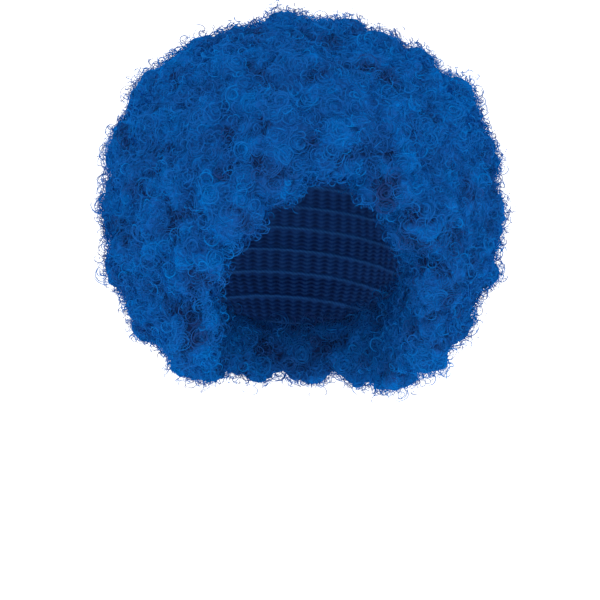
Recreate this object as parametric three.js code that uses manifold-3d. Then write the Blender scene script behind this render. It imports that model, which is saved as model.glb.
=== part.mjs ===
// A round curly wig, in millimetres with +Z up and the face towards -Y.
// The origin is the crown seat: the top of the cap's inside, where it rests on a head.
// A thin cap carries rows of curled hair, called wefts, sewn round it from the crown down to the neck.
import * as THREE from 'three';
import { mergeVertices } from 'three/addons/utils/BufferGeometryUtils.js';
import Module from 'manifold-3d';

// Head that the cap fits
const HEAD_WIDTH = 154;
const HEAD_LENGTH = 192;
const HEAD_DOME = 95; // crown seat down to the head's widest level

// Cap
const CAP_WALL = 1.8;
const CAP_FRONT_DROP = 60; // crown seat down to the cap's edge over the forehead
const CAP_NAPE_DROP = 160; // crown seat down to the cap's edge at the nape
const CAP_EDGE_BEND = 0.8; // under 1 the edge falls away sooner behind the temples

// Ball of hair
const HAIR_WIDTH = 292;
const HAIR_DEPTH = 292;
const HAIR_HEIGHT = 290; // of the whole ball, part of which is missing at the neck
const HAIR_ABOVE = 62; // crown seat up to the top of the curls
const HAIR_BELOW = 203; // crown seat down to the lowest curls
const HAIR_BACKWARD = 4; // the ball's centre lies this far behind the head's
const WEFT_TILT = 12; // degrees: the wefts lie higher over the forehead than at the nape
const SEWN_GAP = 0.35; // between the cap and the wefts, and between two wefts

// Face opening, an arch
const FACE_HALF_WIDTH = 60;
const FACE_TOP_DROP = 71; // crown seat down to the top of the arch
const FACE_SPRING_DROP = 125; // crown seat down to where the sides of the arch become straight
const FACE_FLARE = 24; // the opening is this much wider all round at the front of the hair
const FLARE_START = 48; // the flare starts this far in front of the crown seat

// Puffs of curls, fused to the wefts in rows
const PUFF_RADIUS = 23.5;
const PUFF_PITCH = 45; // between puffs, and between rows
const PUFF_RISE = 9; // of a puff above the backing
const PUFF_EDGE_RISE = 6; // the same round the face
const PUFF_SWAY = 2; // how far a puff lies out of its row
const PUFF_TWIST = 50; // degrees, from its root to its tip
const PUFF_SIZE_SPREAD = 0.08; // share by which a puff may be larger or smaller
const EDGE_CLEARANCE = 0.78; // of the pitch, between a puff in a row and those along the edges
const LOWEST_FACE_PUFF = 28; // above the lowest curls
const LOWER_SPLAY = 0.4; // how far the puffs of the lower edge lean outward, against 1 down
const ROWS_PER_WEFT = 2;

// Facets
const ROUND_FACETS = 24;
const DOME_RINGS = 5;
const TOP_RING_SHARE = 0.35; // of a ring's step, from the top ring to the crown seat
const ARCH_FACETS = 10;
const SPAN_FACETS = 8;
const PUFF_SIDES = 6;

// The head below its widest level. share is of the drop from there to the lowest curls, the others of the
// head's half width and half length.
const HEAD_SECTIONS = [
  { share: 0.0, width: 1.0, front: 1.0, back: 1.0 },
  { share: 0.28, width: 0.98, front: 1.0, back: 0.95 },
  { share: 0.46, width: 0.92, front: 0.98, back: 0.83 },
  { share: 0.63, width: 0.84, front: 0.92, back: 0.69 },
  { share: 0.79, width: 0.79, front: 0.86, back: 0.61 },
  { share: 1.0, width: 0.76, front: 0.8, back: 0.58 },
];

// A puff from its root up to its tip, as shares of its radius.
const PUFF_SECTIONS = [
  { out: 0.0, down: 1.25 },
  { out: 0.96, down: 0.95 },
  { out: 0.86, down: 0.38 },
  { out: 0.46, down: 0.07 },
  { out: 0.0, down: 0.0 },
];

const BEYOND = 40; // how far a cutting solid reaches past what it cuts

const wasm = await Module();
wasm.setup();

// Solids

function solidOf(geometry) {
  const bare = geometry.clone();
  bare.deleteAttribute('normal');
  bare.deleteAttribute('uv');
  const merged = mergeVertices(bare, 1e-4);
  const mesh = new wasm.Mesh({
    numProp: 3,
    vertProperties: new Float32Array(merged.attributes.position.array),
    triVerts: new Uint32Array(merged.index.array),
  });
  return new wasm.Manifold(mesh);
}

function geometryOf(solid) {
  const mesh = solid.getMesh();
  const geometry = new THREE.BufferGeometry();
  geometry.setAttribute('position', new THREE.BufferAttribute(mesh.vertProperties, 3));
  geometry.setIndex(new THREE.BufferAttribute(mesh.triVerts, 1));
  geometry.computeVertexNormals();
  return geometry;
}

// Cutting can leave loose crumbs, so the largest body is the piece.
function largestBody(solid) {
  return solid.decompose().sort((a, b) => b.volume() - a.volume())[0];
}

// A closed skin through rings of points, first ring to last, turning anticlockwise about the way they run.
function loft(rings) {
  const count = rings[0].length;
  const middle = (ring) => ring.reduce((sum, p) => sum.add(p), new THREE.Vector3()).divideScalar(count);
  const points = [...rings.flat(), middle(rings[0]), middle(rings.at(-1))];
  const first = rings.length * count;
  const faces = [];
  for (let i = 0; i < count; i++) {
    const next = (i + 1) % count;
    for (let r = 0; r + 1 < rings.length; r++) {
      const low = r * count;
      const high = low + count;
      faces.push(low + i, low + next, high + next, low + i, high + next, high + i);
    }
    const last = (rings.length - 1) * count;
    faces.push(first, next, i, first + 1, last + i, last + next);
  }
  const geometry = new THREE.BufferGeometry().setFromPoints(points);
  geometry.setIndex(faces);
  return geometry;
}

// Head and cap

function headRing(z, halfWidth, front, back) {
  return Array.from({ length: ROUND_FACETS }, (_, i) => {
    const turn = (2 * Math.PI * i) / ROUND_FACETS;
    const along = Math.sin(turn);
    return new THREE.Vector3(halfWidth * Math.cos(turn), along * (along < 0 ? front : back), z);
  });
}

// The head's form, larger by grow all round, down to a level below the lowest curls.
function headForm(grow) {
  const halfWidth = HEAD_WIDTH / 2;
  const halfLength = HEAD_LENGTH / 2;
  const rings = HEAD_SECTIONS.map((s) =>
    headRing(
      -HEAD_DOME - s.share * (HAIR_BELOW - HEAD_DOME),
      s.width * halfWidth + grow,
      s.front * halfLength + grow,
      s.back * halfLength + grow,
    ),
  );
  rings.push(rings.at(-1).map((p) => new THREE.Vector3(p.x, p.y, p.z - BEYOND)));
  rings.reverse();
  for (let i = 1; i <= DOME_RINGS; i++) {
    const rise = (Math.PI / 2) * (i / (DOME_RINGS + TOP_RING_SHARE));
    const across = Math.cos(rise);
    const length = (halfLength + grow) * across;
    const z = -HEAD_DOME + (HEAD_DOME + grow) * Math.sin(rise);
    rings.push(headRing(z, (halfWidth + grow) * across, length, length));
  }
  rings.push(headRing(grow, 1, 1, 1));
  return solidOf(loft(rings));
}

// How far below the crown seat the cap's edge lies, from the forehead at turn 0 to the nape at half a turn.
function capEdgeDrop(turn) {
  const backward = (1 - Math.cos(turn)) / 2;
  return CAP_FRONT_DROP + (CAP_NAPE_DROP - CAP_FRONT_DROP) * backward ** CAP_EDGE_BEND;
}

function belowCapEdge() {
  const reach = HEAD_LENGTH;
  const middle = HEAD_WIDTH / 4; // well inside the cap
  const ring = (radius, drop) =>
    Array.from({ length: ROUND_FACETS }, (_, i) => {
      const turn = (2 * Math.PI * i) / ROUND_FACETS;
      const fall = drop ?? capEdgeDrop(turn);
      return new THREE.Vector3(radius * Math.sin(turn), -radius * Math.cos(turn), -fall);
    });
  const lowest = HAIR_BELOW + 2 * BEYOND;
  return solidOf(loft([ring(reach, lowest), ring(reach), ring(middle)]));
}

function capSolid() {
  return headForm(CAP_WALL).subtract(headForm(0)).subtract(belowCapEdge());
}

// Hair

const ballCentre = new THREE.Vector3(0, HAIR_BACKWARD, HAIR_ABOVE - HAIR_HEIGHT / 2);
const tiltAngle = THREE.MathUtils.degToRad(WEFT_TILT);
const weftPole = new THREE.Vector3(0, Math.sin(tiltAngle), Math.cos(tiltAngle));

// Half the width, depth and height of the ball of hair, less an inset.
function ballAxes(inset) {
  return new THREE.Vector3(HAIR_WIDTH / 2, HAIR_DEPTH / 2, HAIR_HEIGHT / 2).subScalar(inset);
}

function backingBall() {
  const axes = ballAxes(PUFF_RISE);
  const geometry = new THREE.SphereGeometry(1, ROUND_FACETS, ROUND_FACETS / 2);
  geometry.rotateX(Math.PI / 2);
  geometry.scale(axes.x, axes.y, axes.z);
  geometry.translate(ballCentre.x, ballCentre.y, ballCentre.z);
  return solidOf(geometry);
}

// The outline of the face opening, widened by grow, from its lower right corner over the arch to the left.
function faceOutline(grow, bottom) {
  const outline = [new THREE.Vector2(FACE_HALF_WIDTH + grow, bottom)];
  const rise = FACE_SPRING_DROP - FACE_TOP_DROP + grow;
  for (let i = 0; i <= ARCH_FACETS; i++) {
    const turn = (Math.PI * i) / ARCH_FACETS;
    outline.push(
      new THREE.Vector2((FACE_HALF_WIDTH + grow) * Math.cos(turn), -FACE_SPRING_DROP + rise * Math.sin(turn)),
    );
  }
  outline.push(new THREE.Vector2(-FACE_HALF_WIDTH - grow, bottom));
  return outline;
}

function faceOpening() {
  const bottom = -HAIR_BELOW - BEYOND;
  const front = HAIR_BACKWARD - HAIR_DEPTH / 2;
  const section = (flare, y) =>
    faceOutline(PUFF_EDGE_RISE + flare, bottom).map((p) => new THREE.Vector3(p.x, y, p.y));
  return solidOf(
    loft([
      section(0, 0),
      section(0, -FLARE_START),
      section(FACE_FLARE, front),
      section(FACE_FLARE, front - BEYOND),
    ]),
  );
}

// A repeatable number from 0 to 1.
function scatter(index, salt) {
  const value = Math.sin(index * 12.9898 + salt * 78.233) * 43758.5453;
  return value - Math.floor(value);
}

function inFaceOpening(place, margin) {
  if (place.y > 0) return false;
  const halfWidth = FACE_HALF_WIDTH + margin;
  if (place.z < -FACE_SPRING_DROP) return Math.abs(place.x) < halfWidth;
  const rise = FACE_SPRING_DROP - FACE_TOP_DROP + margin;
  return (place.x / halfWidth) ** 2 + ((place.z + FACE_SPRING_DROP) / rise) ** 2 < 1;
}

// Angle from the weft pole to the lowest curls at the back.
function backFall() {
  const level = -HAIR_BELOW - ballCentre.z;
  const share = THREE.MathUtils.clamp(level / (HAIR_HEIGHT / 2), -1, 1);
  return new THREE.Vector3(0, (HAIR_DEPTH / 2) * Math.sqrt(1 - share ** 2), level).angleTo(weftPole);
}

// Where rows and wefts lie, as angles from the weft pole. The crown has one puff and a ring of puffs round it.
function weftPlan() {
  const reach = (HAIR_WIDTH + HAIR_DEPTH + HAIR_HEIGHT) / 6 - PUFF_RISE;
  const pitch = PUFF_PITCH / reach;
  const crownEdge = 1.5 * pitch;
  const rowCount = Math.max(ROWS_PER_WEFT, Math.round((backFall() - crownEdge) / pitch));
  const step = (backFall() - crownEdge) / rowCount;
  const rows = [0, pitch];
  for (let fall = crownEdge + step / 2; fall < Math.PI; fall += step) rows.push(fall);
  const starts = Array.from(
    { length: Math.ceil(rowCount / ROWS_PER_WEFT) },
    (_, i) => crownEdge + i * ROWS_PER_WEFT * step,
  );
  return { reach, rows, starts };
}

// Puffs in rows over the ball. Each has the place of its tip and the way that it points.
function ballPuffs() {
  const { reach, rows } = weftPlan();
  const axes = ballAxes(0);
  const tilt = new THREE.Quaternion().setFromUnitVectors(new THREE.Vector3(0, 0, 1), weftPole);
  const puffs = [];
  rows.forEach((fall, row) => {
    const count = Math.max(1, Math.floor((2 * Math.PI * reach * Math.sin(fall)) / PUFF_PITCH));
    for (let i = 0; i < count; i++) {
      const index = puffs.length;
      const sway = (2 * scatter(index, 1) - 1) * (PUFF_SWAY / reach) * Math.sign(fall);
      const turn = (2 * Math.PI * (i + 0.5 * (row % 2))) / count;
      const way = new THREE.Vector3().setFromSphericalCoords(1, fall + sway, turn);
      way.applyAxisAngle(new THREE.Vector3(1, 0, 0), Math.PI / 2).applyQuaternion(tilt);
      const place = way.clone().multiply(axes).add(ballCentre);
      puffs.push({ place, way });
    }
  });
  return puffs;
}

// How far in front of the ball's centre its surface lies at a place seen from the front.
function ballFront(x, z) {
  const axes = ballAxes(0);
  const left = 1 - (x / axes.x) ** 2 - ((z - ballCentre.z) / axes.z) ** 2;
  return ballCentre.y - axes.y * Math.sqrt(Math.max(left, 0));
}

// Puffs that round off the edge of the face opening: one row at the front of the hair and one behind it.
function facePuffs() {
  const rows = [
    { flare: 1.15, outward: 2.4, depth: 0.98 },
    { flare: 0.4, outward: 0.4, depth: 0.74 },
  ];
  const axes = ballAxes(0);
  return rows.flatMap((row) => {
    const outline = faceOutline(row.flare * FACE_FLARE, -HAIR_BELOW + LOWEST_FACE_PUFF);
    const edge = new THREE.CurvePath();
    outline.slice(1).forEach((p, i) => edge.add(new THREE.LineCurve(outline[i], p)));
    const count = Math.round(edge.getLength() / PUFF_PITCH);
    return Array.from({ length: count + 1 }, (_, i) => {
      const p = edge.getPointAt(i / count);
      const along = edge.getTangentAt(i / count);
      const place = new THREE.Vector3(p.x, row.depth * ballFront(p.x, p.y), p.y);
      const outward = place.clone().sub(ballCentre).divide(axes).normalize();
      const inward = new THREE.Vector3(-along.y, 0, along.x);
      return { place, way: inward.addScaledVector(outward, row.outward).normalize() };
    });
  });
}

// Puffs round the lower edge, from one side of the face opening round the back to the other.
function lowerPuffs() {
  const last = HEAD_SECTIONS.at(-1);
  const across = new THREE.Vector2(last.width * HEAD_WIDTH, last.back * HEAD_LENGTH).divideScalar(2);
  across.addScalar(PUFF_RADIUS * PUFF_SECTIONS[2].out);
  const count = Math.round((Math.PI * (across.x + across.y)) / 2 / PUFF_PITCH);
  return Array.from({ length: count + 1 }, (_, i) => {
    const turn = (Math.PI * i) / count;
    const place = new THREE.Vector3(across.x * Math.cos(turn), across.y * Math.sin(turn), -HAIR_BELOW);
    const way = new THREE.Vector3(LOWER_SPLAY * Math.cos(turn), LOWER_SPLAY * Math.sin(turn), -1);
    return { place, way: way.normalize() };
  });
}

function puffSolid({ place, way }, index) {
  const radius = PUFF_RADIUS * (1 + PUFF_SIZE_SPREAD * (2 * scatter(index, 3) - 1));
  const profile = PUFF_SECTIONS.map((s) => new THREE.Vector2(s.out * radius, -s.down * radius));
  const geometry = new THREE.LatheGeometry(profile, PUFF_SIDES, scatter(index, 4) * Math.PI);
  const position = geometry.attributes.position;
  const length = PUFF_SECTIONS[0].down * radius;
  for (let i = 0; i < position.count; i++) {
    const point = new THREE.Vector3().fromBufferAttribute(position, i);
    const twist = THREE.MathUtils.degToRad(PUFF_TWIST) * (1 + point.y / length);
    point.applyAxisAngle(new THREE.Vector3(0, 1, 0), twist);
    position.setXYZ(i, point.x, point.y, point.z);
  }
  geometry.applyQuaternion(new THREE.Quaternion().setFromUnitVectors(new THREE.Vector3(0, 1, 0), way));
  geometry.translate(place.x, place.y, place.z);
  return solidOf(geometry);
}

function aboveLevel(z) {
  const geometry = new THREE.BoxGeometry(2 * HAIR_WIDTH, 2 * HAIR_DEPTH, 2 * HAIR_HEIGHT);
  geometry.translate(0, 0, z + HAIR_HEIGHT);
  return solidOf(geometry);
}

function hairSolid() {
  const backing = backingBall()
    .intersect(aboveLevel(-HAIR_BELOW + PUFF_RISE))
    .subtract(faceOpening());
  const edgePuffs = [...facePuffs(), ...lowerPuffs()];
  const isClear = ({ place }) =>
    place.z > -HAIR_BELOW &&
    !inFaceOpening(place, FACE_FLARE) &&
    edgePuffs.every((puff) => puff.place.distanceTo(place) > EDGE_CLEARANCE * PUFF_PITCH);
  const puffs = [...edgePuffs, ...ballPuffs().filter(isClear)].map(puffSolid);
  return wasm.Manifold.union([backing, ...puffs]).subtract(headForm(CAP_WALL + SEWN_GAP));
}

// What lies between two angles from the weft pole, seen from the ball's centre: the crown's cone, a ring, or
// all that is below the last edge.
function weftSpan(from, to) {
  const near = HEAD_WIDTH / 8; // well inside the head
  const far = HAIR_WIDTH + HAIR_DEPTH;
  const steps = Math.ceil((to - from) / (Math.PI / 8));
  const at = (radius, fall) => new THREE.Vector2(radius * Math.sin(fall), radius * Math.cos(fall));
  const isCrown = from === 0;
  const isLast = to === Math.PI;
  const profile = [];
  if (isCrown) profile.push(new THREE.Vector2(0, near * Math.cos(to)));
  if (!isLast) profile.push(at(near, to));
  for (let i = 0; i <= steps; i++) profile.push(at(far, to + ((from - to) * i) / steps));
  if (!isCrown) profile.push(at(near, from));
  profile.push(isLast ? new THREE.Vector2(0, near * Math.cos(from)) : profile[0]);
  if (isCrown) profile.pop();
  const geometry = new THREE.LatheGeometry(profile, SPAN_FACETS);
  geometry.applyQuaternion(new THREE.Quaternion().setFromUnitVectors(new THREE.Vector3(0, 1, 0), weftPole));
  geometry.translate(ballCentre.x, ballCentre.y, ballCentre.z);
  return solidOf(geometry);
}

function weftSolids() {
  const hair = hairSolid();
  const { starts } = weftPlan();
  const halfGap = SEWN_GAP / HEAD_WIDTH; // as an angle, at the head's surface
  const spans = [0, ...starts].map((start, i) => [
    i === 0 ? 0 : start + halfGap,
    i === starts.length ? Math.PI : starts[i] - halfGap,
  ]);
  return spans.map(([from, to]) => largestBody(hair.intersect(weftSpan(from, to))));
}

// Assembly

const capMaterial = new THREE.MeshStandardMaterial({ color: 0x0b2f66, roughness: 0.9, metalness: 0 });
const hairMaterial = new THREE.MeshStandardMaterial({ color: 0x12509a, roughness: 0.6, metalness: 0 });

function piece(name, solid, material) {
  const mesh = new THREE.Mesh(geometryOf(solid), material);
  mesh.name = name;
  return mesh;
}

const wig = new THREE.Group();
wig.add(piece('cap', capSolid(), capMaterial));
weftSolids().forEach((solid, i) => {
  wig.add(piece(i === 0 ? 'crown_weft' : `weft_${i}`, solid, hairMaterial.clone()));
});

export default wig;
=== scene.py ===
import math

import bpy
import numpy as np
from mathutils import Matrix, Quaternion, Vector, kdtree, noise


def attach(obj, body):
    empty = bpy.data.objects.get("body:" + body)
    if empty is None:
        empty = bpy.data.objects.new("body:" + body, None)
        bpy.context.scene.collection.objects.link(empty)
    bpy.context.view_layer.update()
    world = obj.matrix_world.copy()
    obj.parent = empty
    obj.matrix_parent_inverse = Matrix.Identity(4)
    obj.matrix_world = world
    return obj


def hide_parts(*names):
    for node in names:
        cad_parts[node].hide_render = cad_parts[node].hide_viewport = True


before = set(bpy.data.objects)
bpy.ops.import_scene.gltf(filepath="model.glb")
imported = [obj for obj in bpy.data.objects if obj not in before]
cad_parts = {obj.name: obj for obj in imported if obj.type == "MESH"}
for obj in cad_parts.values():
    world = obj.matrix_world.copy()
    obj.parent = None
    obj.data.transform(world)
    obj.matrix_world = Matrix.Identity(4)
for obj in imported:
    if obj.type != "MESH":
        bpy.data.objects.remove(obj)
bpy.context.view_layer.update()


# Cap
# The stretch cap that the wig is worn by: a thin knit of dark blue yarn, whose ribs run up from the edge to
# its crown. The rows of hair are sewn to its outside, so only its inside is seen, through the opening.

class Shade:
    """A socket in a material's nodes. Arithmetic on it adds Math nodes, and node() adds any other node."""

    def __init__(self, tree, socket=None):
        self.tree = tree
        self.socket = socket

    def node(self, kind, settings, inputs, out=0):
        """Adds a node, its settings before its inputs. Sockets go by identifier or by place."""
        made = self.tree.nodes.new(kind)
        for name, value in settings.items():
            setattr(made, name, value)
        for name, value in inputs.items():
            socket = next(s for i, s in enumerate(made.inputs) if name in (i, s.identifier))
            if isinstance(value, Shade):
                self.tree.links.new(value.socket, socket)
            else:
                socket.default_value = value
        found = next(s for i, s in enumerate(made.outputs) if out in (i, s.identifier))
        return Shade(self.tree, found)

    def maths(self, operation, *values, clamp=False):
        settings = {"operation": operation, "use_clamp": clamp}
        return self.node("ShaderNodeMath", settings, dict(enumerate(values)))

    def __add__(self, other):
        return self.maths("ADD", self, other)

    def __sub__(self, other):
        return self.maths("SUBTRACT", self, other)

    def __rsub__(self, other):
        return self.maths("SUBTRACT", other, self)

    def __mul__(self, other):
        return self.maths("MULTIPLY", self, other)

    __radd__ = __add__
    __rmul__ = __mul__

    def wave(self):
        """The sine of this value, brought into the span from 0 to 1."""
        return self.maths("SINE", self) * 0.5 + 0.5

    def mixed(self, low, high):
        """The colour that runs from low to high as this value goes from 0 to 1."""
        settings = {"data_type": "RGBA", "clamp_factor": True}
        inputs = {"Factor_Float": self, "A_Color": low, "B_Color": high}
        return self.node("ShaderNodeMix", settings, inputs, "Result_Color")


def finish(name, build, **numbers):
    """A material: numbers are the shader's plain sockets, and build gives the shader's linked ones."""
    material = bpy.data.materials.new(name)
    material.use_nodes = True
    tree = material.node_tree
    shader = tree.nodes["Principled BSDF"]
    for socket, value in numbers.items():
        shader.inputs[socket.replace("_", " ")].default_value = value
    for socket, shade in build(Shade(tree)).items():
        tree.links.new(shade.socket, shader.inputs[socket.replace("_", " ")])
    return material


def srgb(red, green, blue):
    """The linear colour, with an alpha of 1, of a colour as a screen shows it."""
    share = [v / 255 for v in (red, green, blue)]
    return (*[v / 12.92 if v <= 0.04045 else ((v + 0.055) / 1.055) ** 2.4 for v in share], 1.0)


CAP_YARN = srgb(30, 78, 148)
CAP_HOLLOW_SHADE = srgb(12, 32, 76)  # painted shade in the hollows between the ribs and the stitches
CAP_THREAD = srgb(40, 104, 176)
CAP_RIBS = 64  # all the way round
CAP_ROW = 0.0028  # from one row of stitches to the next
CAP_ROW_SWAY = 1.2  # how far a row sways from rib to rib, in radians of the row's own wave
CAP_RIB_SHARE, CAP_ROW_SHARE = 0.6, 0.4  # of a stitch's height
CAP_FUZZ_SCALE = 420.0
CAP_STITCH_TONE, CAP_FUZZ_TONE = 0.8, 0.4
CAP_SEAM = 0.016  # from one sewn row of hair to the next
CAP_SEAM_TILT = 0.2
CAP_SEAM_NARROWING = 14.0  # the higher it is, the narrower the tape under a sewn row
CAP_SEAM_HEIGHT = 1.5  # of the tape, where the knit's is about 1
CAP_ZIGZAGS = 3  # of the thread, for each rib
CAP_ZIGZAG_SLANT = 2600.0
CAP_BUMP, CAP_BUMP_HEIGHT = 0.6, 0.0015


def knitted_net(shade):
    place = shade.node("ShaderNodeTexCoord", {}, {}, "Object")
    split = shade.node("ShaderNodeSeparateXYZ", {}, {"Vector": place})
    x, y, z = (Shade(shade.tree, socket) for socket in split.socket.node.outputs)
    ribs = x.maths("ARCTAN2", x, y) * CAP_RIBS
    row = (z * (2 * math.pi / CAP_ROW) + ribs.maths("SINE", ribs) * CAP_ROW_SWAY).wave()
    stitch = ribs.wave() * CAP_RIB_SHARE + row * CAP_ROW_SHARE
    fuzz_inputs = {"Vector": place, "Scale": CAP_FUZZ_SCALE, "Detail": 3.0}
    fuzz = shade.node("ShaderNodeTexNoise", {}, fuzz_inputs, "Fac")
    tone = stitch * CAP_STITCH_TONE + fuzz * CAP_FUZZ_TONE
    sewn_row = ((z - y * CAP_SEAM_TILT) * (2 * math.pi / CAP_SEAM)).wave()
    seam = sewn_row.maths("POWER", sewn_row, CAP_SEAM_NARROWING)
    zigzag = (ribs * CAP_ZIGZAGS + z * CAP_ZIGZAG_SLANT).wave()
    # Painted shade: the knit is darker where its stitch pattern, and so its bump, is low; the fuzz varies
    # its tone at random
    knit = tone.mixed(CAP_HOLLOW_SHADE, CAP_YARN)
    tape = zigzag.mixed(CAP_YARN, CAP_THREAD)
    height = tone + seam * CAP_SEAM_HEIGHT
    bump = {"Strength": CAP_BUMP, "Distance": CAP_BUMP_HEIGHT, "Height": height}
    return {"Base_Color": seam.mixed(knit, tape), "Normal": shade.node("ShaderNodeBump", {}, bump)}


cap_net = finish("cap_net", knitted_net, Roughness=0.85, Specular_IOR_Level=0.1)
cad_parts["cap"].data.materials.clear()
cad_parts["cap"].data.materials.append(cap_net)


# Undercoat
# The shaded depth of the hair, where the roots of the curls mat together. It has the form of the ball of
# curls, some millimetres lower, and is one mass from the crown to the lower edge, as the sewn rows merge.

WEFTS = sorted(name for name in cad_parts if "weft" in name)
MESH_STEP = 0.0038
SOFTENING, SOFTENING_ROUNDS = 0.5, 4
BALL_MIDDLE = np.array((0.0, 0.004, -0.083))

# How far a surface faces out from the ball's middle runs from -1 to 1.
LINING_FACING = -0.2  # below this, beside the cap, the hair is hidden by it
OUTSIDE_FACING = 0.2  # above this, it is the outside of the ball
HOLLOW_REACH = np.array((0.088, 0.106))  # half the cap's outside, with some room
CAP_EDGE_FRONT, CAP_EDGE_BACK = -0.060, -0.160
CAP_EDGE_BEND = 0.8  # under 1 the edge falls away sooner on its way to the back

SUNK = 0.0045  # the undercoat lies this far under the curls' outline
SUNK_FACING, SUNK_SPAN = 0.3, 0.5  # the facing from which it sinks, and over which it sinks all the way
SUNK_LEAST = 0.05  # the share by which it sinks elsewhere
VALLEY_FILL = 0.8  # the share of a valley between the puffs that matted hair fills
VALLEY_DEPTH = 0.006  # of a deeper valley, only this much counts
EVENING = 60  # rounds of averaging that smooth the puffs away
SHOULDER_RISE = 0.0055  # how much fuller the ball is on its shoulders, half way up to the crown
SHOULDER, SHOULDER_REACH = math.radians(37), math.radians(27)
ARCH_FOOT = -0.125  # the height at which the sides of the front opening turn into its arch
CORNER = np.array((0.046, -0.088))  # an upper corner of the opening: how far out and how high
CORNER_FILL, CORNER_REACH = 0.009, 0.035  # how much hair fills that corner, and how far round it
CORNER_BACK = -0.02  # the corners' hair lies in front of this

TUFT_SEED, NOISE_SEED = 7, 2
TUFT_SPACING = (0.014, 0.026)
TUFT_RISE = 0.0034
TUFT_WARP = 0.012  # how far a tuft's edge strays from round
TUFT_TONE = 0.025  # how far one tuft's shade differs from the next
LINING_RISE = 0.4  # the share by which tufts rise on the hollow's side
CREVICE, CREVICE_DEPTH = 0.60, 0.22  # where the gaps between tufts begin, and the span over which their painted shade deepens, in tuft spacings
CREVICE_DROP = 0.5  # how far the gaps lie under the tufts' edges, in tuft rises
CREVICE_SHADE = 2.8  # how fast the painted shade deepens in the gaps, at most
CREST, CREST_HIGHLIGHT = 0.4, 0.06  # a painted highlight on the middle of each tuft: how far it reaches, in tuft spacings, and how strong it is
PATCH_TONE = 0.03
FLECK_SIZE, FLECK_TONE = 0.0065, 0.20
COAT_TONE = 0.52  # the middle shade of the hair
RELIEF_SCALE = 0.085  # painted light by relief: the rise that takes the hair from its middle tone to its lightest, twice over


def spread(points, spacings):
    """Indices of points that stand clear of each other, taken in order. Each keeps its own spacing free."""
    tree = kdtree.KDTree(len(points))
    for i, point in enumerate(points):
        tree.insert(point, i)
    tree.balance()
    free = np.ones(len(points), bool)
    kept = []
    for i, point in enumerate(points):
        if free[i]:
            kept.append(i)
            free[[found[1] for found in tree.find_range(point, spacings[i])]] = False
    return np.array(kept)


def nearest(points, targets):
    """For each point, the index of the nearest target and how far it is."""
    tree = kdtree.KDTree(len(targets))
    for i, target in enumerate(targets):
        tree.insert(target, i)
    tree.balance()
    found = [tree.find(point)[1:] for point in points]
    return np.array([f[0] for f in found]), np.array([f[1] for f in found])


def unit(vectors):
    return vectors / np.maximum(np.linalg.norm(vectors, axis=-1, keepdims=True), 1e-9)


def read(mesh, field, name, size):
    """One property of all a mesh's points, edges or triangles, as rows of this size."""
    values = np.empty(len(getattr(mesh, field)) * size)
    getattr(mesh, field).foreach_get(name, values)
    return values.reshape(-1, size)


def evened(values, edges, rounds):
    """Values of a mesh's points, averaged along its edges this many times over."""
    a, b = edges.T
    count = np.bincount(edges.ravel())
    for _ in range(rounds):
        around = np.bincount(a, values[b], len(values)) + np.bincount(b, values[a], len(values))
        values = (values + around / count) / 2
    return values


def merged_wefts():
    """The wefts as one even mesh."""
    mesh = bpy.data.meshes.new("undercoat")
    points, faces = [], []
    for name in WEFTS:
        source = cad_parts[name].data
        faces += [[v + len(points) for v in face.vertices] for face in source.polygons]
        points += [vertex.co[:] for vertex in source.vertices]
    mesh.from_pydata(points, [], faces)
    holder = bpy.data.objects.new("holder", mesh)
    bpy.context.scene.collection.objects.link(holder)
    remesh = holder.modifiers.new("even", "REMESH")
    remesh.mode, remesh.voxel_size, remesh.use_smooth_shade = "VOXEL", MESH_STEP, True
    smooth = holder.modifiers.new("soft", "SMOOTH")
    smooth.factor, smooth.iterations = SOFTENING, SOFTENING_ROUNDS
    evaluated = holder.evaluated_get(bpy.context.evaluated_depsgraph_get())
    even = bpy.data.meshes.new_from_object(evaluated)
    bpy.data.objects.remove(holder)
    return even


def shown(name, mesh, material, *nodes):
    """Adds a piece of hair that stands for these wefts."""
    piece = bpy.data.objects.new(name, mesh)
    bpy.context.scene.collection.objects.link(piece)
    mesh.materials.clear()
    mesh.materials.append(material)
    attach(piece, "root")
    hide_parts(*nodes)


random = np.random.default_rng(TUFT_SEED)
noise.seed_set(NOISE_SEED)  # without a seed, its vectors differ from run to run
coat = merged_wefts()
coat_points = read(coat, "vertices", "co", 3)
coat_normals = read(coat, "vertices", "normal", 3)
edges = read(coat, "edges", "vertices", 2).astype(int)
facing_out = (coat_normals * unit(coat_points - BALL_MIDDLE)).sum(1)
on_outside = facing_out > OUTSIDE_FACING

# The part of the hair that lies against the cap, hidden between the two
by_hollow = np.hypot(*(coat_points[:, :2] / HOLLOW_REACH).T) < 1
turn_back = np.arctan2(coat_points[:, 0], -coat_points[:, 1])
to_back = ((1 - np.cos(turn_back)) / 2) ** CAP_EDGE_BEND
cap_edge = CAP_EDGE_FRONT + (CAP_EDGE_BACK - CAP_EDGE_FRONT) * to_back
under_cap = (facing_out < LINING_FACING) & by_hollow & (coat_points[:, 2] > cap_edge)

# Tufts: each point belongs to its nearest tuft, and lies some way off that tuft's middle
order = random.permutation(len(coat_points))
tufts = coat_points[order][~under_cap[order]]
spacings = random.uniform(*TUFT_SPACING, len(tufts))
clear = spread(tufts, spacings)
tufts, spacings = tufts[clear], spacings[clear]
warp = np.array([noise.noise_vector(Vector(point) / TUFT_SPACING[0]) for point in coat_points])
own_tuft, off_middle = nearest(coat_points + TUFT_WARP * warp, tufts)
off_middle /= spacings[own_tuft]
swell = np.clip(1 - (off_middle / CREVICE) ** 2, -CREVICE_DROP, 1)
swell *= np.where(by_hollow & (facing_out < OUTSIDE_FACING), LINING_RISE, 1)
sunk = SUNK * np.clip((facing_out - SUNK_FACING) / SUNK_SPAN, SUNK_LEAST, 1)

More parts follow.
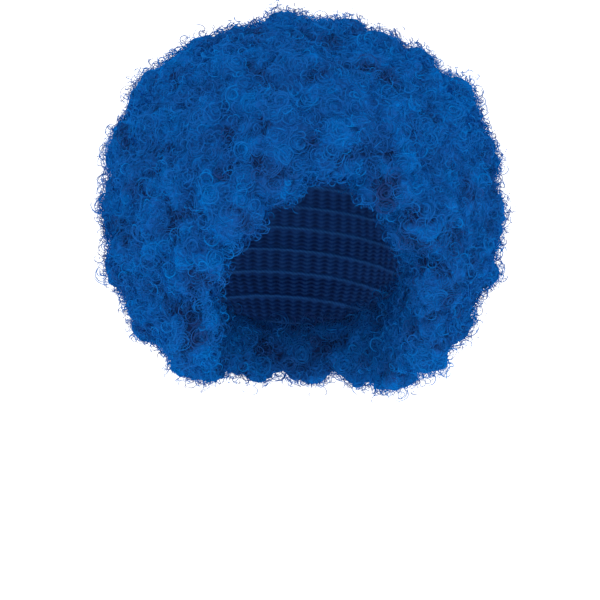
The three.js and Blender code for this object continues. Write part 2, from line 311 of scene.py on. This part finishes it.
# Fuller hair in the valleys between the puffs, on the shoulders and in the opening's upper corners
reach = np.linalg.norm(coat_points - BALL_MIDDLE, axis=1)
valley = np.clip(evened(reach, edges, EVENING) - reach, 0, VALLEY_DEPTH)
fuller = VALLEY_FILL * valley * on_outside
height = np.arcsin((coat_points[:, 2] - BALL_MIDDLE[2]) / reach)
off_shoulder = np.clip((height - SHOULDER) / SHOULDER_REACH, -1, 1)
fuller += SHOULDER_RISE * (np.cos(math.pi * off_shoulder) + 1) / 2 * on_outside
from_front = np.column_stack((np.abs(coat_points[:, 0]), coat_points[:, 2]))
by_corner = np.clip(1 - (np.linalg.norm(from_front - CORNER, axis=1) / CORNER_REACH) ** 2, 0, 1)
inward = unit(np.column_stack((-coat_points[:, 0], ARCH_FOOT - coat_points[:, 2])))
into_opening = np.clip((inward * coat_normals[:, ::2]).sum(1), 0, 1)
into_opening *= coat_points[:, 1] < CORNER_BACK
fuller += CORNER_FILL * np.sqrt(by_corner) * np.sqrt(into_opening)
coat_points += coat_normals * np.where(under_cap, 0, TUFT_RISE * swell + fuller - sunk)[:, None]
coat.vertices.foreach_set("co", coat_points.ravel())
coat.update()

# Tones: painted light where the hair stands out, a painted highlight on each tuft's middle and painted shade
# in the gaps between tufts, over tones that differ at random from tuft to tuft, in patches and in flecks
full_reach = np.linalg.norm(coat_points - BALL_MIDDLE, axis=1)
relief = full_reach - evened(full_reach, edges, EVENING)
# Painted shade in the gaps between tufts, deeper at some gaps than at others
gap_shade = random.uniform(0, CREVICE_SHADE, len(tufts))
crevice_shade = np.clip(off_middle - CREVICE, 0, CREVICE_DEPTH) * gap_shade[own_tuft]
tuft_tone = random.normal(0, TUFT_TONE, len(tufts))
coat_tone_and_shade = COAT_TONE + relief / RELIEF_SCALE + tuft_tone[own_tuft] - crevice_shade
fleck = np.array([noise.noise(Vector(point) / FLECK_SIZE) for point in coat_points])
# A painted highlight on the middle of each tuft
crest_highlight = np.clip(1 - off_middle / CREST, 0, 1)
coat_tone_and_shade += CREST_HIGHLIGHT * crest_highlight + PATCH_TONE * warp[:, 0] + FLECK_TONE * fleck
coat.attributes.new("tone", "FLOAT", "POINT").data.foreach_set("value", coat_tone_and_shade)

# The undercoat's colours in painted shade, in the middle and in painted light; its tone, partly random and
# partly painted light and shade, picks among them
COAT_DARK = srgb(20, 34, 76)
COAT_MID = srgb(22, 86, 164)
COAT_LIT = srgb(0, 108, 196)
COAT_DARK_TO_MID = (2.6, -0.3)  # the tone times the first, plus the second, mixes dark and middle
MID_TO_LIT = (3.4, -1.7)  # the same for middle and lit
MAT_WARP_SCALE, MAT_WARP = 90.0, (0.008, 0.008, 0.008)  # the noise that bends the matted curls
MAT_CURL_SCALE, MAT_CURL_RINGS = 95.0, 32.0  # how many matted curls, and how tightly wound
# Painted light on the rings of the matted curls and painted shade between them, following their bump
MAT_CURL_SHADE = 0.16
MAT_BUMP, MAT_BUMP_HEIGHT = 0.8, 0.002
FIBRE_GLOSS = {"Specular_IOR_Level": 0.0, "Sheen_Weight": 0.5, "Sheen_Roughness": 0.5,
               "Sheen_Tint": (0, 0.25, 0.9, 1)}


def three_shades(tone, dark_to_mid, dark, mid, lit):
    """The colour of a tone, which runs from dark to middle and from there to lit."""
    low = tone.maths("MULTIPLY_ADD", tone, *dark_to_mid, clamp=True).mixed(dark, mid)
    return tone.maths("MULTIPLY_ADD", tone, *MID_TO_LIT, clamp=True).mixed(low, lit)


def matted(shade):
    place = shade.node("ShaderNodeTexCoord", {}, {}, "Object")
    warp_inputs = {"Vector": place, "Scale": MAT_WARP_SCALE, "Detail": 2.0}
    bend = shade.node("ShaderNodeTexNoise", {}, warp_inputs, "Color")
    bent_inputs = {"Vector": bend, "Vector_001": MAT_WARP, "Vector_002": place}
    bent_place = shade.node("ShaderNodeVectorMath", {"operation": "MULTIPLY_ADD"}, bent_inputs)
    cell_inputs = {"Vector": bent_place, "Scale": MAT_CURL_SCALE}
    cells = shade.node("ShaderNodeTexVoronoi", {}, cell_inputs, "Distance")
    curls = (cells * MAT_CURL_RINGS).wave()
    tone = shade.node("ShaderNodeAttribute", {"attribute_name": "tone"}, {}, "Fac")
    # Painted light on the matted curls' raised rings, painted shade in the grooves between them
    level = tone + curls * MAT_CURL_SHADE - MAT_CURL_SHADE / 2
    colour = three_shades(level, COAT_DARK_TO_MID, COAT_DARK, COAT_MID, COAT_LIT)
    bump = {"Strength": MAT_BUMP, "Distance": MAT_BUMP_HEIGHT, "Height": curls}
    return {"Base_Color": colour, "Normal": shade.node("ShaderNodeBump", {}, bump)}


coat_finish = finish("curls_depth", matted, Roughness=0.8, **FIBRE_GLOSS)
shown("undercoat", coat, coat_finish, *WEFTS)


# Curls
# Fine synthetic fibre, steamed into curls that cover every tuft. Strands wound round one centre show as arcs
# inside one another, looser ones cross them in every direction, and stray loops stand up off the tufts.

STEPS = 10  # points along a strand
STRAND_WIDTH = 0.00052
STRAND_TAPER = ((0, 0.2, 0.8, 1), (0.35, 1.0, 1.0, 0.3))  # places along a strand, and its width there
ROOT_COUNT = 70000  # places over the undercoat, from which the strands take theirs
CURL_SEED = 11
RING_SPACING = 0.0095
RING_STRANDS = 9
RING_DOME = 0.0022  # how far the middle of a ring stands above its rim
LOOSE_COUNT, STRAY_COUNT = 26000, 6500
# How far a strand reaches from the middle it winds round, for how many turns, how high that middle lies
# over the undercoat, how far its axis leans, and the strand's width and how much painted light lifts it
RING = {"reach": (0.0045, 0.0092), "turns": (0.30, 0.68), "lift": (0.0012, 0.0026), "lean": 0.3,
        "width": (0.7, 1.1), "tone": 0.0}
LOOSE = {"reach": (0.0018, 0.0060), "turns": (0.25, 0.75), "lift": (-0.0004, 0.0026), "lean": 0.4,
         "width": (0.6, 1.1), "tone": 0.0}
STRAY = {"reach": (0.0018, 0.0044), "turns": (0.4, 0.8), "lift": (0.0015, 0.0070), "lean": 4.0,
         "width": (0.9, 1.4), "tone": 0.12}
DRIFT = (-0.45, 0.25)  # the share by which a strand winds in or out over its length
DRIFT_SWAY, DRIFT_WAVES = 0.06, 7  # how far it sways in and out on the way, and how often
RISE_SWAY, RISE_WAVES = 0.0008, 5  # the same along its axis
STRAND_TURN_OUT, STRAND_TWIST = 0.35, 0.3  # how far its flat side turns outward, and how far at random
AXIS_SPREAD = 0.12  # how far the strands of one ring lean from its axis
PLACE_SPREAD = 0.0004
TONE_SPREAD = 0.03
SHADE_SPREAD = ((0.2, 0.5), (4, 1))  # tones, and how many times that spread holds there
PIECE_TRIANGLES = 195000  # the most that one piece holds
BAKE_CELL_SHAPE = 4  # a strand's cell on the bake map is this much longer than wide
BAKE_END_GAP, BAKE_SIDE_GAP = 0.06, 0.2  # the shares of a cell left free at its ends and sides
FIBRES = 2  # seen side by side across a strand
# Painted light along each fibre of a strand and painted shade between the fibres
FIBRE_SHADE = 0.06
# The curls' colours in painted shade, in the middle and in painted light, picked by their tone
CURL_DARK = srgb(31, 48, 97)
CURL_MID = srgb(20, 84, 158)
CURL_LIT = srgb(0, 108, 186)
CURL_DARK_TO_MID = (2.0, 0.0)


def cross_frame(axis):
    """Two directions square to each axis and to each other."""
    helper = np.where(np.abs(axis[:, 2:]) < 0.9, (0.0, 0.0, 1.0), (1.0, 0.0, 0.0))
    first = unit(np.cross(axis, helper))
    return first, np.cross(axis, first)


def wound(middle, axis, reach, turns, generator):
    """Paths and facings of strands that wind round an axis, each some way off its middle."""
    uniform, normal = generator.uniform, generator.normal
    count = len(middle)
    t = np.linspace(0, 1, STEPS)
    first, second = cross_frame(axis)
    start = uniform(0, 2 * np.pi, (count, 1))
    turn = start + 2 * np.pi * turns[:, None] * t
    swing = np.cos(turn)[..., None] * first[:, None] + np.sin(turn)[..., None] * second[:, None]
    drift = uniform(*DRIFT, (count, 1)) * t + normal(0, DRIFT_SWAY, (count, 1)) * np.sin(DRIFT_WAVES * t)
    rise = normal(0, RISE_SWAY, (count, 1)) * np.sin(RISE_WAVES * t + start)
    winding = (reach[:, None] * (1 + drift))[..., None] * swing
    path = middle[:, None] + winding + rise[..., None] * axis[:, None]
    facing = axis[:, None] + STRAND_TURN_OUT * swing + normal(0, STRAND_TWIST, (count, 1, 3))
    return path, facing


def strand_mesh(name, path, facing, width, tone):
    """Flat strands as a mesh: path and facing by strand and step, width and tone by strand."""
    count = len(path)
    taper = np.interp(np.linspace(0, 1, STEPS), *STRAND_TAPER)
    edgeways = unit(np.cross(unit(np.gradient(path, axis=1)), facing))
    side = edgeways * (width[:, None] * taper)[..., None] / 2
    points = np.stack((path - side, path + side), axis=2)
    index = np.arange(count * STEPS * 2).reshape(count, STEPS, 2)
    corners = (index[:, :-1, 0], index[:, 1:, 0], index[:, 1:, 1], index[:, :-1, 1])
    faces = np.stack(corners, axis=-1)
    mesh = bpy.data.meshes.new(name)
    mesh.from_pydata(points.reshape(-1, 3), [], faces.reshape(-1, 4))
    mesh.shade_smooth()
    across = np.zeros((count, STEPS, 2))
    across[..., 1] = 1
    for field, values in (("tone", np.repeat(tone, STEPS * 2)), ("across", across)):
        mesh.attributes.new(field, "FLOAT", "POINT").data.foreach_set("value", values.ravel())

    # The bake map has a cell for each strand
    columns = math.ceil(math.sqrt(count / BAKE_CELL_SHAPE))
    rows = math.ceil(count / columns)
    strand = np.arange(count)[:, None, None]
    along = np.arange(STEPS)[None, :, None] / (STEPS - 1)
    u = (strand % columns + BAKE_END_GAP + (1 - 2 * BAKE_END_GAP) * along) / columns
    v = (strand // columns + BAKE_SIDE_GAP + (1 - 2 * BAKE_SIDE_GAP) * across) / rows
    cells = np.stack((np.broadcast_to(u, across.shape), v), axis=-1).reshape(-1, 2)
    mesh.uv_layers.new(name="OFBake").data.foreach_set("uv", cells[faces.reshape(-1)].ravel())
    return mesh


def strand_roots(count):
    """Places spread at random over the undercoat, with its normal and its tone at each."""
    coat.calc_loop_triangles()
    corners = read(coat, "loop_triangles", "vertices", 3).astype(int)
    a, b, c = (coat_points[corners[:, i]] for i in range(3))
    area = np.linalg.norm(np.cross(b - a, c - a), axis=1) * ~under_cap[corners].all(1)
    face = random.choice(len(corners), count, p=area / area.sum())
    u, v = random.uniform(0, 1, (2, count, 1))
    flip = (u + v) > 1
    u, v = np.where(flip, 1 - u, u), np.where(flip, 1 - v, v)
    places = a[face] + u * (b - a)[face] + v * (c - a)[face]
    normals = unit(read(coat, "vertices", "normal", 3)[corners[face]].mean(1))
    # The tone there carries the undercoat's painted light and shade
    return places, normals, coat_tone_and_shade[corners[face]].mean(1)


def strands(kind, roots, copies, generator):
    """Strands of one kind at these roots: paths, facings, widths, tones. Copies wind round one middle."""
    uniform, normal = generator.uniform, generator.normal
    many = len(roots) * copies
    share = np.sqrt((np.tile(np.arange(copies), len(roots)) + uniform(0, 1, many)) / copies)
    axis = unit(root_normals[roots] + normal(0, kind["lean"], (len(roots), 3)))
    axis = unit(np.repeat(axis, copies, axis=0) + normal(0, AXIS_SPREAD, (many, 3)))
    reach = np.repeat(uniform(*kind["reach"], len(roots)), copies) * (share if copies > 1 else 1)
    turns = uniform(*kind["turns"], many) * generator.choice((-1, 1), many)
    lift = uniform(*kind["lift"], many) + (RING_DOME * (1 - share ** 2) if copies > 1 else 0)
    raised = np.repeat(places[roots], copies, axis=0)
    raised = raised + lift[:, None] * np.repeat(root_normals[roots], copies, axis=0)
    middle = raised + normal(0, PLACE_SPREAD, (many, 3))
    # A strand takes its root's tone with the painted light and shade there, and a stray some painted light
    # on top
    tone = np.repeat(root_tones_and_shades[roots], copies) + kind["tone"]
    tone += normal(0, TONE_SPREAD, many) * np.interp(tone, *SHADE_SPREAD)
    path, facing = wound(middle, axis, reach, turns, generator)
    return path, facing, STRAND_WIDTH * uniform(*kind["width"], many), tone


def curled(shade):
    tone = shade.node("ShaderNodeAttribute", {"attribute_name": "tone"}, {}, "Fac")
    across = shade.node("ShaderNodeAttribute", {"attribute_name": "across"}, {}, "Fac")
    # Painted light along the middle of each of a strand's fibres, painted shade between them
    fibre = (across * (2 * math.pi * FIBRES)).wave()
    level = tone * (1 - FIBRE_SHADE) + fibre * FIBRE_SHADE
    return {"Base_Color": three_shades(level, CURL_DARK_TO_MID, CURL_DARK, CURL_MID, CURL_LIT)}


curl_finish = finish("curls", curled, Roughness=0.55, **FIBRE_GLOSS)

places, root_normals, root_tones_and_shades = strand_roots(ROOT_COUNT)
rings = spread(places, np.full(ROOT_COUNT, RING_SPACING))
loose = np.arange(ROOT_COUNT - LOOSE_COUNT, ROOT_COUNT)
stray = np.arange(ROOT_COUNT - LOOSE_COUNT - STRAY_COUNT, ROOT_COUNT - LOOSE_COUNT)

# A tuft belongs to the weft that it lies nearest to, and a strand to its tuft's weft
weft_points = [np.array([v.co[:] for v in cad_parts[name].data.vertices]) for name in WEFTS]
tuft_owner = np.argmin([nearest(tufts, points)[1] for points in weft_points], axis=0)
owner = tuft_owner[nearest(places, tufts)[0]]
for w, name in enumerate(WEFTS):
    generator = np.random.default_rng(CURL_SEED + w)
    groups = ((RING, rings, RING_STRANDS), (LOOSE, loose, 1), (STRAY, stray, 1))
    sets = [strands(kind, roots[owner[roots] == w], copies, generator) for kind, roots, copies in groups]
    path, facing, width, tone = (np.concatenate(values) for values in zip(*sets))
    tone = np.clip(tone, 0, 1)
    parts = math.ceil(len(path) * (STEPS - 1) * 2 / PIECE_TRIANGLES)
    for h in range(parts):
        label = f"{name}_curls" if parts == 1 else f"{name}_curls_{h + 1}"
        mesh = strand_mesh(label, path[h::parts], facing[h::parts], width[h::parts], tone[h::parts])
        shown(label, mesh, curl_finish, name)


# Studio
# A pale floor that curves up into a backdrop, two broad soft lights, and a level camera that looks at the
# wig from a little below the middle of its ball.

FLOOR_LEVEL = -0.9
FLOOR_FRONT, FLOOR_BACK, FLOOR_SIDE = -4.0, 1.6, 5.0
BACKDROP_BEND, BACKDROP_STEPS, BACKDROP_TOP = 1.2, 13, 4.0
FLOOR_TONE, FLOOR_GLOW = (0.9, 0.9, 0.9, 1), 0.35
WHITE = (1, 1, 1, 1)
ROOM_LIGHT = 1.05
TARGET = Vector((0.002, 0.004, -0.142))
CAMERA_DISTANCE = 1.8
CAMERA_AZIMUTH = -9.5
CAMERA_ROLL = 3.0
FRAME_HEIGHT = 0.42  # what the frame covers at the wig
SENSOR_WIDTH = 36

floor_mesh = bpy.data.meshes.new("floor")
arc = [(FLOOR_BACK + BACKDROP_BEND * math.sin(a), FLOOR_LEVEL + BACKDROP_BEND * (1 - math.cos(a)))
       for a in np.linspace(0, math.pi / 2, BACKDROP_STEPS)]
profile = [(FLOOR_FRONT, FLOOR_LEVEL), *arc, (FLOOR_BACK + BACKDROP_BEND, BACKDROP_TOP)]
floor_points = [(x, y, z) for x in (-FLOOR_SIDE, FLOOR_SIDE) for y, z in profile]
floor_faces = [(i, i + 1, i + 1 + len(profile), i + len(profile)) for i in range(len(profile) - 1)]
floor_mesh.from_pydata(floor_points, [], floor_faces)
floor_mesh.shade_smooth()
floor = bpy.data.objects.new("floor", floor_mesh)
bpy.context.scene.collection.objects.link(floor)
floor_mesh.materials.append(finish("floor", lambda shade: {}, Base_Color=FLOOR_TONE, Roughness=0.9,
                                   Emission_Color=WHITE, Emission_Strength=FLOOR_GLOW))

world = bpy.data.worlds.new("studio")
world.use_nodes = True
world.node_tree.nodes["Background"].inputs["Color"].default_value = WHITE
world.node_tree.nodes["Background"].inputs["Strength"].default_value = ROOM_LIGHT
bpy.context.scene.world = world


def softbox(name, place, size, power):
    light = bpy.data.lights.new(name, "AREA")
    light.size, light.energy = size, power
    lamp = bpy.data.objects.new(name, light)
    lamp.location = place
    lamp.rotation_euler = (TARGET - Vector(place)).to_track_quat("-Z", "Y").to_euler()
    bpy.context.scene.collection.objects.link(lamp)


softbox("key", place=(-0.7, -1.9, 0.9), size=0.9, power=8)
softbox("fill", place=(1.2, -1.6, 0.3), size=1.2, power=4)

azimuth = math.radians(CAMERA_AZIMUTH)
back = Vector((math.sin(azimuth), -math.cos(azimuth), 0.0))
camera = bpy.data.objects.new("camera", bpy.data.cameras.new("camera"))
camera.data.sensor_width = SENSOR_WIDTH
camera.data.lens = SENSOR_WIDTH * CAMERA_DISTANCE / FRAME_HEIGHT
camera.location = TARGET + back * CAMERA_DISTANCE
aim = (-back).to_track_quat("-Z", "Y")
camera.rotation_mode = "QUATERNION"
camera.rotation_quaternion = aim @ Quaternion((0, 0, 1), math.radians(CAMERA_ROLL))
bpy.context.scene.collection.objects.link(camera)
bpy.context.scene.camera = camera
bpy.context.scene.view_settings.view_transform = "Standard"
